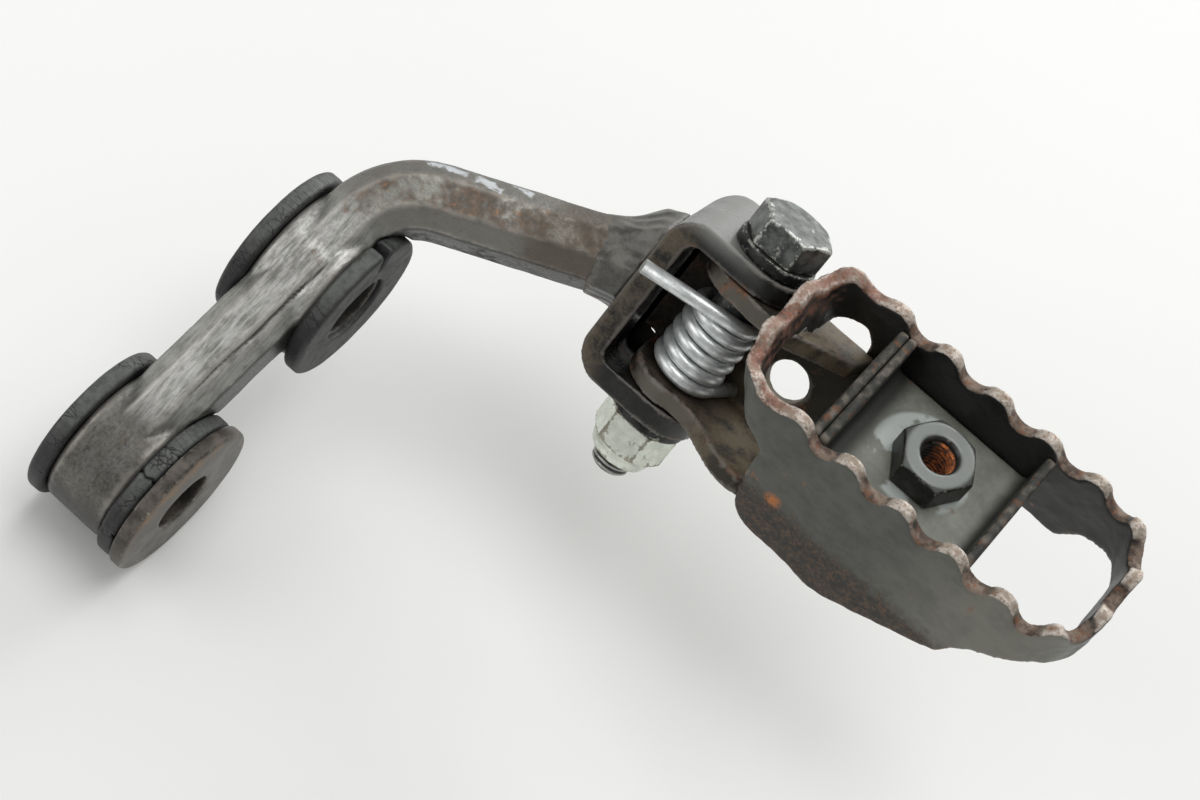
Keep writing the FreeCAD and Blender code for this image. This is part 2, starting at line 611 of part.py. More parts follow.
upper_top = [V(0, 0, LUG_R), V(9, 0, UPPER_LUG_TOP), V(UPPER_LUG_BREAK, 0, UPPER_LUG_TOP)]
upper_end = [V(UPPER_LUG_POINT, 0, 0), V(CHANNEL_END, 0, LUG_PLATE - WEB_DEPTH)]
upper_edges = Part.makePolygon(upper_top + upper_end[:1]).Edges
upper_lug = lug_block(upper_edges, upper_end, 2 * LUG_OUT)
near_curve = Part.BSplineCurve()
near_curve.interpolate([V(0, 0, LUG_R), V(11, 0, 11.8), V(20.5, 0, 18.6), V(NEAR_LUG_BREAK, 0, NEAR_LUG_TOP)])
near_end = [V(NEAR_LUG_BREAK, 0, NEAR_LUG_TOP), V(28, 0, NEAR_LUG_END), V(CHANNEL_END, 0, NEAR_LUG_END)]
near_lug = lug_block([near_curve.toShape()], near_end, -2 * LUG_OUT)
channel = channel.common(upper_lug.fuse(near_lug))
channel = channel.cut(Part.makeCylinder(BOLT_R + PIN_GAP, 4 * LUG_OUT, V(0, -2 * LUG_OUT, 0), Y))
web_hole = V(WEB_HOLE_X, WEB_HOLE_P, -2 * WEB_DEPTH)
channel = channel.cut(Part.makeCylinder(WEB_HOLE_R, 2 * WEB_DEPTH, web_hole, Z))
for side in (-1, 1):
    clear = Part.makeBox(WALL_OUT, LUG_OUT, 4 * WEB_DEPTH, V(-WALL_OUT - LUG_R, -LUG_OUT / 2, -2 * WEB_DEPTH))
    clear.translate(Y * side * (HEEL_HALF + LUG_OUT / 2))
    channel = channel.cut(clear)
channel = on_hinge(channel).cut(on_tread(rim))
save(channel, "hinge_channel")
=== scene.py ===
import json
import math

import bmesh
import bpy
import numpy as np
from mathutils import Matrix, Vector, noise


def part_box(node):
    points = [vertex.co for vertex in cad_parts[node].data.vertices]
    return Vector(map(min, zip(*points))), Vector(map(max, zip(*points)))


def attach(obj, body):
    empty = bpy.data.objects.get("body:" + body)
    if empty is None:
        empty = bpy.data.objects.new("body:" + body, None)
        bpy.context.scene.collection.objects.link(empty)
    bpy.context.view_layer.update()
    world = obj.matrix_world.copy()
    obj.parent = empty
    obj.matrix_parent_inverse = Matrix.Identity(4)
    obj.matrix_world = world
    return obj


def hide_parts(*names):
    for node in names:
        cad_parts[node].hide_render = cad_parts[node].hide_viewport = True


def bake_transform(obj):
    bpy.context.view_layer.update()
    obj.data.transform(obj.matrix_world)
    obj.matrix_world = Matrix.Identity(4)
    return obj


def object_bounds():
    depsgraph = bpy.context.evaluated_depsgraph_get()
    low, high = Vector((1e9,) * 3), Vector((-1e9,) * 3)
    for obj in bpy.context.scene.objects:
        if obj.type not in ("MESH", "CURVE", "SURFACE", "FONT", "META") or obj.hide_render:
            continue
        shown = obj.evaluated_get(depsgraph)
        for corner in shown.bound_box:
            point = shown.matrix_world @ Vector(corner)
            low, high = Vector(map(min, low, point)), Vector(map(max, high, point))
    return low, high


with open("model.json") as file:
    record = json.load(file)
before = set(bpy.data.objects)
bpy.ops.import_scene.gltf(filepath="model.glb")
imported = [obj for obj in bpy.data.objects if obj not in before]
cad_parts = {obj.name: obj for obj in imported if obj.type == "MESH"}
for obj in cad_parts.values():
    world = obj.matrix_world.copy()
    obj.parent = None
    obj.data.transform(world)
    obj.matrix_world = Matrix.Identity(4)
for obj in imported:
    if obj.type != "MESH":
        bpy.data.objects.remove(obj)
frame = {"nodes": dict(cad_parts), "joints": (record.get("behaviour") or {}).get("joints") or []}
cad_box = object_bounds()
bpy.context.scene.view_settings.view_transform = "Standard"

MM = 0.001
FULL_TURN = 2 * math.pi

# Directions and places taken from the frame
HINGE = frame["joints"][0]
PIVOT = Vector(HINGE["pos_m"])
PIVOT_AXIS = -Vector(HINGE["axis"]).normalized()
OUTWARD = Vector((1, 0, 0))
ACROSS = Vector((0, 1, 0))
TREAD_UP = Vector((0, 0, 1))
FOLD_WAY = OUTWARD.cross(PIVOT_AXIS)


def middle(node):
    low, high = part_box(node)
    return (Vector(low) + Vector(high)) / 2


UPPER_EYE = middle("upper_inner_rubber") * Vector((0, 1, 1))
LOWER_EYE = middle("lower_inner_rubber") * Vector((0, 1, 1))
LINK = (UPPER_EYE - LOWER_EYE).normalized()
LINK_TOP = OUTWARD.cross(LINK)
WELD = middle("clevis_weld")
DISC = middle("lower_plate_washer")
INSERT = middle("insert_nut")
INSERT_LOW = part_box("insert_nut")[0][2]
PAN_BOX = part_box("tread_pan")
PAN_HALF = (PAN_BOX[1][0] - PAN_BOX[0][0]) / 2
PAN_SHEET = 2.5 * MM
PAN_TOP = PAN_BOX[0][2] + PAN_SHEET
TREAD_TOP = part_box("tread_rim")[1][2]
TREAD_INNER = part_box("tread_rim")[0][0]

# Sockets of the mix node: kind, first input, second input and output
NUMBER_SOCKETS = ("FLOAT", 2, 3, 0)
COLOUR_SOCKETS = ("RGBA", 6, 7, 2)

# Soft borders of a painted stroke, in millimetres
STROKE_END = 0.5
STROKE_SIDE = 0.3


# Material helpers
class Finish:
    """A procedural material that is put together from a few named layers."""

    def __init__(self, name):
        self.material = bpy.data.materials.new(name)
        self.material.use_nodes = True
        self.tree = self.material.node_tree
        self.shader = self.tree.nodes["Principled BSDF"]
        self.place = self.node("ShaderNodeTexCoord").outputs["Object"]

    def node(self, kind):
        return self.tree.nodes.new(kind)

    def put(self, socket, value):
        """Give a socket a number, a colour or the output of another node."""
        if isinstance(value, bpy.types.NodeSocket):
            self.tree.links.new(value, socket)
        elif isinstance(value, tuple) and len(value) == 3 and socket.type == "RGBA":
            socket.default_value = (*value, 1)
        else:
            socket.default_value = value

    def mapped(self, centre=(0, 0, 0), stretch=(1, 1, 1), turn=(0, 0, 0)):
        """Places moved, stretched and turned."""
        node = self.node("ShaderNodeMapping")
        node.vector_type = "TEXTURE"
        node.inputs["Location"].default_value = centre
        node.inputs["Rotation"].default_value = turn
        node.inputs["Scale"].default_value = stretch
        self.put(node.inputs["Vector"], self.place)
        return node.outputs["Vector"]

    def shaken(self, size, amount):
        """Places moved about by up to half of amount millimetres."""
        wobble = self.node("ShaderNodeTexNoise")
        self.put(wobble.inputs["Vector"], self.place)
        wobble.inputs["Scale"].default_value = 1 / (size * MM)
        node = self.node("ShaderNodeVectorMath")
        node.operation = "MULTIPLY_ADD"
        self.put(node.inputs[0], wobble.outputs["Color"])
        node.inputs[1].default_value = (amount * MM,) * 3
        self.put(node.inputs[2], self.mapped(centre=(amount / 2 * MM,) * 3))
        return node.outputs["Vector"]

    def grain(self, size, detail=4.0, rough=0.55, where=None):
        """Soft noise whose patches are about size millimetres across."""
        node = self.node("ShaderNodeTexNoise")
        self.put(node.inputs["Vector"], where or self.place)
        node.inputs["Scale"].default_value = 1 / (size * MM)
        node.inputs["Detail"].default_value = detail
        node.inputs["Roughness"].default_value = rough
        return node.outputs["Fac"]

    def crackle(self, size, where):
        """Distance from the borders of cells that are about size millimetres across."""
        node = self.node("ShaderNodeTexVoronoi")
        node.feature = "DISTANCE_TO_EDGE"
        self.put(node.inputs["Vector"], where)
        node.inputs["Scale"].default_value = 1 / (size * MM)
        return node.outputs["Distance"]

    def kept(self, name):
        """A value kept on the mesh: edge is 1 on convex edges and 0.5 on flats, skyward is 1 on tops."""
        node = self.node("ShaderNodeAttribute")
        node.attribute_name = name
        return node.outputs["Fac"]

    def sum(self, a, b, weight=1.0):
        """The first value plus the second one times a weight."""
        node = self.node("ShaderNodeMath")
        node.operation = "MULTIPLY_ADD"
        self.put(node.inputs[0], b)
        node.inputs[1].default_value = weight
        self.put(node.inputs[2], a)
        return node.outputs[0]

    def worked(self, operation, a, b):
        node = self.node("ShaderNodeMath")
        node.operation = operation
        self.put(node.inputs[0], a)
        self.put(node.inputs[1], b)
        return node.outputs[0]

    def times(self, value, *others):
        for other in others:
            value = self.worked("MULTIPLY", value, other)
        return value

    def larger(self, a, b):
        return self.worked("MAXIMUM", a, b)

    def span(self, value, low, high, start=0.0, end=1.0):
        """Smooth step from start to end while a value goes from low to high."""
        node = self.node("ShaderNodeMapRange")
        node.interpolation_type = "SMOOTHSTEP"
        self.put(node.inputs["Value"], value)
        node.inputs["From Min"].default_value = low
        node.inputs["From Max"].default_value = high
        node.inputs["To Min"].default_value = start
        node.inputs["To Max"].default_value = end
        return node.outputs["Result"]

    def less(self, value, left=0.0):
        """1 where a value is 0, down to what is left where it is 1."""
        return self.span(value, 0, 1, 1, left)

    def along(self, direction, origin, low, high, where=None):
        """Smooth step along a direction in the part's frame, in millimetres from the origin."""
        node = self.node("ShaderNodeVectorMath")
        node.operation = "DOT_PRODUCT"
        self.put(node.inputs[0], where or self.place)
        node.inputs[1].default_value = direction
        base = Vector(direction).dot(Vector(origin))
        return self.span(node.outputs["Value"], base + low * MM, base + high * MM)

    def near(self, point, inside, outside):
        """1 within inside millimetres of a point, fading to 0 at outside millimetres."""
        node = self.node("ShaderNodeVectorMath")
        node.operation = "DISTANCE"
        self.put(node.inputs[0], self.place)
        node.inputs[1].default_value = point
        return self.span(node.outputs["Value"], inside * MM, outside * MM, 1.0, 0.0)

    def stroke(self, start, end, width, up, where):
        """A painted stroke from start to end on a surface that faces up."""
        run = (end - start).normalized()
        across = up.cross(run)
        side = 0.5 * width
        before = self.along(run, start, -STROKE_END, STROKE_END, where)
        after = self.along(-run, end, -STROKE_END, STROKE_END, where)
        low = self.along(across, start, -side - STROKE_SIDE, STROKE_SIDE - side, where)
        high = self.along(-across, start, -side - STROKE_SIDE, STROKE_SIDE - side, where)
        return self.times(self.times(before, after), self.times(low, high))

    def mixed(self, sockets, share, a, b):
        kind, first, second, result = sockets
        node = self.node("ShaderNodeMix")
        node.data_type = kind
        self.put(node.inputs[0], share)
        self.put(node.inputs[first], a)
        self.put(node.inputs[second], b)
        return node.outputs[result]

    def mix(self, share, a, b):
        """One colour that goes over to another."""
        return self.mixed(COLOUR_SOCKETS, share, a, b)

    def blend(self, share, a, b):
        """One number that goes over to another."""
        return self.mixed(NUMBER_SOCKETS, share, a, b)

    def coat(self, colour, tint, mask, strength):
        """A tint laid over a colour where the mask is, at the given strength."""
        return self.mix(self.times(mask, strength), colour, tint)

    def relief(self, height, depth, strength=1.0, below=None):
        """Bumps of up to depth millimetres, on top of those below."""
        node = self.node("ShaderNodeBump")
        node.inputs["Strength"].default_value = strength
        node.inputs["Distance"].default_value = depth * MM
        self.put(node.inputs["Height"], height)
        if below:
            self.put(node.inputs["Normal"], below)
        return node.outputs["Normal"]

    def specular(self, level):
        self.put(self.shader.inputs["Specular IOR Level"], level)

    def wear(self, colour, roughness, metallic=None, normal=None):
        """Give the shader its layers."""
        self.put(self.shader.inputs["Base Color"], colour)
        self.put(self.shader.inputs["Roughness"], roughness)
        if metallic is not None:
            self.put(self.shader.inputs["Metallic"], metallic)
        if normal is not None:
            self.put(self.shader.inputs["Normal"], normal)
        return self.material


# The curve from screen values to light
CURVE_KNEE = 0.04045
CURVE_SLOPE = 12.92
CURVE_LIFT = 0.055
CURVE_POWER = 2.4


def shade(red, green, blue):
    """A colour as it reads on a screen, from 0 to 255, as the light that a shader takes."""
    light = []
    for value in (red / 255, green / 255, blue / 255):
        if value < CURVE_KNEE:
            light.append(value / CURVE_SLOPE)
        else:
            light.append(((value + CURVE_LIFT) / (1 + CURVE_LIFT)) ** CURVE_POWER)
    return tuple(light)


# Colours of rust, chalk and grime
RUST_DARK = shade(77, 55, 42)
RUST = shade(123, 81, 53)
RUST_ORANGE = shade(174, 106, 48)
RUST_PINK = shade(139, 90, 73)
CHALK = shade(227, 233, 240)
BLACK_GRIME = shade(24, 24, 24)

# White smears past the arm's bend, as places on the bar's top in millimetres
SMEARS = [((4, 23, 32), (13, 26, 34)), ((15, 27, 34), (22, 28, 35)), ((20, 31, 36), (28, 32, 36))]
SMEAR_WIDTH = 1.3

# Where layers of the arm begin and end, in millimetres past the upper eye, lower eye and weld
LINK_END = (8, 26)
EYE_GRIME = (-24, 4)
WELD_SMOKE = (-26, -4)


def white_smears(f, skyward):
    """Thin white smears on the bar's top, broken where they have rubbed off."""
    hand = f.shaken(4, 3.0)
    smears = None
    for start, end in SMEARS:
        smear = f.stroke(Vector(start) * MM, Vector(end) * MM, SMEAR_WIDTH, LINK_TOP, hand)
        smears = f.larger(smears, smear) if smears else smear
    thin = f.span(f.sum(f.grain(1.1, 3), f.grain(3.5, 3), 0.8), 0.66, 0.90)
    return f.times(smears, f.span(skyward, 0.5, 0.75), thin)


def arm_finish():
    """Forged bar: scrubbed link with a painted highlight, brown top past the bend under a painted sky
    reflection, plain chamfers and sides in painted shade.
    """
    f = Finish("worn_arm")
    cloud = f.grain(6, 6, 0.62)
    speck = f.grain(0.9, 5, 0.7)
    link_way = f.mapped(stretch=(0.5, 3.6, 0.6), turn=(LINK.angle(ACROSS), 0, 0))
    scratch = f.grain(1.4, 5, 0.65, link_way)
    skyward = f.kept("skyward")
    top = f.span(skyward, 0.84, 0.96)
    on_link = f.less(f.along(LINK, UPPER_EYE, *LINK_END))
    past_bend = f.less(on_link)

    colour = f.mix(f.span(cloud, 0.34, 0.68), shade(122, 122, 117), shade(143, 144, 139))
    colour = f.coat(colour, shade(154, 150, 143), f.span(speck, 0.52, 0.68), 0.30)
    colour = f.coat(colour, shade(44, 40, 36), f.span(speck, 0.44, 0.32), 0.35)
    by_eye = f.span(f.sum(f.along(-LINK, LOWER_EYE, *EYE_GRIME), cloud, 0.6), 0.5, 1.1)
    grime = f.mix(f.span(speck, 0.36, 0.64), shade(58, 55, 50), shade(88, 85, 79))
    colour = f.coat(colour, grime, by_eye, 0.8)
    # Light streaks on the link's up-facing top: scrubbed paint and a painted highlight
    streaks = f.span(f.sum(scratch, cloud, 0.4), 0.48, 0.92)
    scrub_and_highlight = f.times(on_link, f.less(by_eye, 0.12), streaks, f.span(skyward, 0.55, 0.85))
    colour = f.coat(colour, shade(211, 210, 207), scrub_and_highlight, 0.74)

    blotch = f.grain(9, 5, 0.62, f.mapped(centre=(0.31, 0.12, 0.2)))
    patches = f.sum(blotch, f.grain(1.8, 4), 0.5)
    patches = f.sum(f.sum(patches, on_link, -0.22), top, 0.16)
    # Chamfer faces past the bend, picked by how far they face up, painted a darker grey: painted shade
    chamfer = f.times(f.span(skyward, 0.45, 0.6), f.less(top), past_bend)
    patchy_shade = f.span(f.sum(cloud, speck, 0.5), 0.55, 0.9, 0.15, 0.8)
    colour = f.coat(colour, shade(112, 108, 100), chamfer, patchy_shade)
    # Lighter grey on the top past the bend: a painted reflection of the sky
    sky_sheen = f.span(f.sum(speck, cloud, 0.6), 0.62, 1.0, 0.1, 0.6)
    colour = f.coat(colour, shade(142, 140, 128), f.times(top, past_bend), sky_sheen)
    rust = f.times(f.span(patches, 0.74, 1.0), f.less(chamfer, 0.55))
    brown = f.mix(f.span(f.grain(1.4, 4, 0.65), 0.40, 0.66), shade(68, 52, 41), shade(114, 84, 58))
    brown = f.coat(brown, RUST_ORANGE, f.span(f.grain(2.4, 4), 0.60, 0.72), 0.7)
    colour = f.coat(colour, brown, rust, 0.72)

    edge = f.span(f.sum(f.kept("edge"), f.grain(3, 4), 0.35), 0.72, 0.95)
    colour = f.coat(colour, shade(174, 169, 162), edge, 0.5)
    by_weld = f.span(f.sum(f.along(OUTWARD, WELD, *WELD_SMOKE), cloud, 0.8), 0.55, 1.15)
    colour = f.coat(colour, shade(79, 68, 55), by_weld, 0.6)
    # Concave creases painted darker: painted shade
    crease = f.span(f.kept("edge"), 0.36, 0.12)
    colour = f.coat(colour, shade(37, 31, 26), crease, 0.85)
    shadow_side = f.span(f.sum(skyward, cloud, 0.3), 0.84, 0.54)
    colour = f.coat(colour, shade(33, 32, 31), shadow_side, 0.85)
    smears = white_smears(f, skyward)
    colour = f.coat(colour, CHALK, smears, 0.8)

    rough = f.blend(rust, f.span(speck, 0.3, 0.7, 0.28, 0.44), 0.72)
    rough = f.blend(smears, rough, 0.75)
    bare = f.span(f.larger(rust, smears), 0, 1, 0.6, 0.0)
    shine = f.times(bare, f.less(shadow_side, 0.2))
    normal = f.relief(f.sum(speck, scratch, 0.6), 0.15, 0.5, f.relief(cloud, 0.5, 0.4))
    return f.wear(colour, rough, shine, normal)


# Where layers of the channel begin and end, in millimetres from the pivot or the insert
CHANNEL_RUBBED = (-3, 4)
CHANNEL_FAR_LUG = (0, 6)
CHANNEL_DUST_AND_LIGHT = (6, 18)
CHANNEL_IN_TREAD = (-46, -40)

# Where layers of the clevis begin and end, in millimetres from the pivot
CLEVIS_SIDES = (-21.5, -20)
CLEVIS_BACK = (-19, -17.5)
CLEVIS_DEPTH = (-2, 4)
CLEVIS_FAR_EAR = (19, 23.5)
CLEVIS_EAR_SHEEN = (-6, 12)
CLEVIS_BY_BAR = (12, 17)
CLEVIS_SHEEN_AND_DUST = 0.7


def channel_layers(f, colour, cut_edge, cloud, speck):
    """Rubbed edges, dust with painted light past the coil, and painted shade on the web within the
    tread.
    """
    skyward = f.kept("skyward")
    rubbed = f.span(f.sum(skyward, f.sum(cloud, speck, 0.5), 0.7), 1.05, 1.45)
    far_lug = f.less(f.along(PIVOT_AXIS, PIVOT, *CHANNEL_FAR_LUG), 0.8)
    rubbed = f.times(rubbed, f.along(FOLD_WAY, PIVOT, *CHANNEL_RUBBED), far_lug)
    colour = f.mix(rubbed, colour, cut_edge)
    # Paler brown towards the tread: dust, and painted light where the web lies in shade
    dust_and_painted_light = f.span(f.sum(cloud, speck, 0.4), 0.45, 0.80)
    dust_and_painted_light = f.times(f.along(OUTWARD, PIVOT, *CHANNEL_DUST_AND_LIGHT), dust_and_painted_light)
    colour = f.coat(colour, shade(124, 112, 90), dust_and_painted_light, 0.8)
    # Web within the tread painted near black: painted shade in the tread's well
    web_shade = f.times(f.along(OUTWARD, INSERT, *CHANNEL_IN_TREAD), f.span(skyward, 0.70, 0.90))
    return f.coat(colour, shade(24, 24, 21), web_shade, 0.85)


def clevis_inside(f):
    """1 on the inner faces of the clevis, away from the open side, where painted shade goes."""
    sides = f.along(PIVOT_AXIS, PIVOT, *CLEVIS_SIDES)
    sides = f.times(sides, f.along(-PIVOT_AXIS, PIVOT, *CLEVIS_SIDES))
    between = f.times(sides, f.along(OUTWARD, PIVOT, *CLEVIS_BACK))
    return f.times(f.along(-FOLD_WAY, PIVOT, *CLEVIS_DEPTH), between)


def clevis_sheen_and_dust(f, colour, cloud, speck):
    """Painted reflection in pale grey on the far ear, and brown dust on the cut face beside the bar."""
    # Pale grey on the far ear's outer face: a painted reflection
    far_ear_sheen = f.along(PIVOT_AXIS, PIVOT, *CLEVIS_FAR_EAR)
    far_ear_sheen = f.times(far_ear_sheen, f.along(-OUTWARD, PIVOT, *CLEVIS_EAR_SHEEN))
    colour = f.coat(colour, shade(136, 138, 134), far_ear_sheen, CLEVIS_SHEEN_AND_DUST)
    cut_face = f.span(f.kept("skyward"), 0.75, 0.95)
    by_bar = f.times(cut_face, f.along(-OUTWARD, PIVOT, *CLEVIS_BY_BAR))
    by_bar = f.times(by_bar, f.span(f.sum(cloud, speck, 0.5), 0.56, 0.90))
    return f.coat(colour, shade(96, 86, 70), by_bar, CLEVIS_SHEEN_AND_DUST)


def paint_finish(name, paint, dust, worn, rust, gloss, sheen=0.5, cut_edge=None, clevis=False):
    """Black paint with dust, worn edges and a few rust spots.

    A cut_edge colour adds the channel's own layers, and clevis adds those of the clevis.
    """
    f = Finish(name)
    cloud = f.grain(6, 6, 0.65)
    speck = f.grain(0.7, 5, 0.7)
    colour = f.mix(f.span(f.sum(cloud, speck, 0.3), 0.50, 0.85), paint, dust)
    if cut_edge:
        colour = channel_layers(f, colour, cut_edge, cloud, speck)
    chipped = f.sum(f.sum(f.kept("edge"), f.grain(3, 5, 0.6), 0.45), speck, 0.15)
    edge = f.span(chipped, 0.90 - worn, 1.06 - worn)
    colour = f.coat(colour, shade(128, 123, 117), edge, 0.7)
    patches = f.sum(f.grain(7, 5, 0.62, f.mapped(centre=(0.2, 0.3, 0.1))), speck, 0.35)
    patches = f.sum(patches, f.kept("edge"), 0.3)
    spots = f.span(patches, 1.02 - rust, 1.16 - rust)
    brown = f.mix(f.span(f.grain(1.3, 4, 0.65), 0.40, 0.66), RUST_DARK, RUST)
    colour = f.coat(colour, brown, spots, 0.85)
    rough = f.blend(f.larger(edge, spots), f.span(cloud, 0.3, 0.7, gloss, gloss + 0.14), 0.62)
    shine = f.times(edge, f.span(spots, 0, 1, 0.5, 0))
    normal = f.relief(speck, 0.08, 0.5, f.relief(f.sum(cloud, edge, -0.2), 0.35, 0.45))
    if clevis:
        # Inner faces of the clevis painted near black, without shine or reflection: painted shade
        inside_shade = clevis_inside(f)
        colour = f.mix(inside_shade, colour, shade(14, 13, 12))
        colour = clevis_sheen_and_dust(f, colour, cloud, speck)
        shine = f.times(shine, f.less(inside_shade))
        sheen = f.span(inside_shade, 0, 1, sheen, 0.0)
    f.specular(sheen)
    return f.wear(colour, rough, shine, normal)


# A rust spot on the rim's near side
RUST_DROP = (0.1137, 0.0159, 0.0314)

# Where layers of the rim begin and end, in millimetres from the insert, the crests and the inner end
RIM_OUTER_END = (0, 36)
RIM_NEAR_SIDE = (-17, -13)
RIM_LOW_BAND = (18, 36)
RIM_CREST = (-9.0, -5.5)
RIM_CREST_TOP = (-3.6, -0.8)
RIM_INNER_END = (5, 34)


def rim_finish():
    """Dusty strip, black inside and darker towards the bottom, worn to rust and bare steel along its
    crests.
    """
    f = Finish("worn_rim")
    cloud = f.grain(7, 6, 0.62)
    speck = f.grain(0.8, 5, 0.7)
    blotch = f.grain(3, 5, 0.65)
    crests = TREAD_UP * TREAD_TOP
    near_top = f.along(TREAD_UP, crests, *RIM_CREST)
    high = f.along(TREAD_UP, crests, *RIM_CREST_TOP)
    inner_end = f.less(f.along(OUTWARD, OUTWARD * TREAD_INNER, *RIM_INNER_END))

    colour = f.mix(f.span(cloud, 0.35, 0.68), shade(62, 64, 58), shade(80, 82, 75))
    outer_end = f.along(OUTWARD, INSERT, *RIM_OUTER_END)
    colour = f.coat(colour, shade(118, 116, 105), outer_end, f.span(cloud, 0.3, 0.6, 0.5, 0.8))
    inside = f.along(ACROSS, INSERT, *RIM_NEAR_SIDE)
    colour = f.coat(colour, shade(21, 21, 21), inside, 0.94)
    # Darker and brown-flecked towards the bottom of the wall
    low_line = f.sum(f.along(-TREAD_UP, crests, *RIM_LOW_BAND), f.sum(cloud, blotch, 0.8), 0.9)
    low_band = f.span(low_line, 0.95, 1.45)
    soil = f.mix(f.span(f.sum(speck, blotch, 0.6), 0.70, 1.0), shade(32, 30, 27), shade(88, 66, 48))
    colour = f.coat(colour, soil, low_band, 0.9)

    crest = f.sum(f.kept("skyward"), f.kept("edge"), 0.75)
    crest = f.sum(f.sum(crest, blotch, 0.5), inner_end, 0.22)
    crest = f.times(f.span(crest, 1.12, 1.42), near_top)
    worn = f.mix(f.span(blotch, 0.38, 0.62), shade(73, 57, 48), shade(130, 114, 101))
    worn = f.coat(worn, shade(165, 152, 136), f.span(f.sum(high, blotch, 0.8), 0.85, 1.35), 0.7)
    worn = f.coat(worn, RUST_PINK, inner_end, f.span(f.sum(speck, blotch, 0.6), 0.62, 0.95))
    worn = f.coat(worn, RUST, f.span(f.grain(2.2, 4, 0.6), 0.54, 0.66), 0.75)
    bare = f.span(f.sum(f.kept("edge"), blotch, 0.7), 0.90, 1.08)
    bare = f.times(bare, f.span(high, 0.1, 0.7))
    worn = f.coat(worn, shade(209, 202, 194), f.times(bare, f.span(speck, 0.36, 0.56)), 0.85)
    colour = f.mix(crest, colour, worn)

    low_edge = f.span(f.sum(f.kept("edge"), speck, 0.4), 0.86, 1.02)
    low_edge = f.times(low_edge, f.less(near_top))
    colour = f.coat(colour, shade(128, 110, 90), low_edge, 0.7)
    rusty = f.grain(5, 5, 0.6, f.mapped(centre=(0.4, 0.2, 0.3)))
    colour = f.coat(colour, RUST, f.span(f.sum(rusty, speck, 0.3), 0.82, 0.90), 0.7)
    drop = f.times(f.near(RUST_DROP, 0.6, 3.0), f.span(f.grain(1.0, 4), 0.36, 0.52))
    colour = f.mix(drop, colour, RUST_ORANGE)

    dull = f.larger(crest, f.larger(low_band, drop))
    rough = f.blend(dull, f.span(cloud, 0.3, 0.7, 0.36, 0.48), 0.66)
    shine = f.times(crest, f.span(bare, 0, 1, 0.2, 0.8))
    waves = f.relief(f.sum(cloud, crest, -0.3), 0.4, 0.5)
    normal = f.relief(f.sum(speck, blotch, 0.8), 0.16, 0.5, waves)
    return f.wear(colour, rough, shine, normal)


# Pale patch beside the insert, with its borders in millimetres
PATCH_SHIFT = Vector((-2 * MM, 1 * MM, 0))
PATCH_BORDER = (12.0, 13.2)

# Where the pan's flanges rise, in millimetres from its ends and above its sheet
OUTER_FLANGE = (-7, -3)
INNER_FLANGE = (-9, -4)
FLANGE_RISE = (1.0, 3.0)


def pan_finish():
    """Dusty sheet with a pale patch beside the insert, and painted shade on its flanges."""
    f = Finish("dusty_pan")
    cloud = f.grain(8, 6, 0.62)
    speck = f.grain(0.8, 4, 0.65)
    tone = f.mix(f.span(cloud, 0.35, 0.66), shade(114, 117, 107), shade(142, 145, 134))
    seat = Vector((INSERT.x, INSERT.y, PAN_TOP)) + PATCH_SHIFT
    patch = f.times(f.near(seat, *PATCH_BORDER), f.span(f.grain(9, 3), 0.46, 0.54))
    tone = f.coat(tone, shade(202, 209, 206), patch, 0.8)
    outer_end = f.along(OUTWARD, INSERT + OUTWARD * PAN_HALF, *OUTER_FLANGE)
    inner_end = f.along(-OUTWARD, INSERT - OUTWARD * PAN_HALF, *INNER_FLANGE)
    standing = f.along(TREAD_UP, TREAD_UP * PAN_TOP, *FLANGE_RISE)
    # Flanges painted near black, with less reflection: painted shade
    flange_shade = f.larger(f.sum(outer_end, inner_end), standing)
    tone = f.coat(tone, shade(42, 42, 40), flange_shade, 0.94)
    edge = f.span(f.sum(f.kept("edge"), f.grain(2.5, 4), 0.5), 0.98, 1.16)
    tone = f.coat(tone, shade(136, 128, 117), edge, 0.6)
    rust = f.span(f.sum(f.grain(4, 5), f.kept("edge"), 0.4), 0.86, 0.98)
    tone = f.coat(tone, RUST, rust, 0.6)
    rough = f.blend(f.larger(edge, rust), f.span(cloud, 0.3, 0.7, 0.40, 0.55), 0.65)
    f.specular(f.span(flange_shade, 0, 1, 0.5, 0.2))
    return f.wear(tone, rough, f.times(edge, 0.3), f.relief(f.sum(speck, cloud), 0.12, 0.5))


def rubber_finish():
    """Black rubber with dust and painted light on its top, and fine cracks in some places."""
    f = Finish("aged_rubber")
    dust = f.span(f.grain(3.5, 6, 0.7), 0.42, 0.80)
    colour = f.coat(shade(28, 29, 29), shade(70, 72, 70), dust, 0.55)
    # Lighter grey on up-facing rubber: settled dust and painted light from above
    top_dust_and_light = f.span(f.grain(2, 5, 0.7), 0.3, 0.65, 0.35, 0.85)
    colour = f.coat(colour, shade(96, 99, 96), f.span(f.kept("skyward"), 0.42, 0.88), top_dust_and_light)
    crackle = f.crackle(1.6, f.mapped(stretch=(2.6, 1, 1)))
    zone = f.span(f.grain(11, 3), 0.42, 0.58)
    line = f.times(f.span(f.sum(crackle, f.grain(1.0, 3), 0.04), 0.085, 0.04), zone)
    colour = f.coat(colour, shade(14, 14, 14), line, 0.9)
    rough = f.blend(dust, 0.50, 0.78)
    normal = f.relief(f.less(line), 0.25, 0.7, f.relief(f.grain(0.7, 4), 0.10, 0.6))
    return f.wear(colour, rough, None, normal)


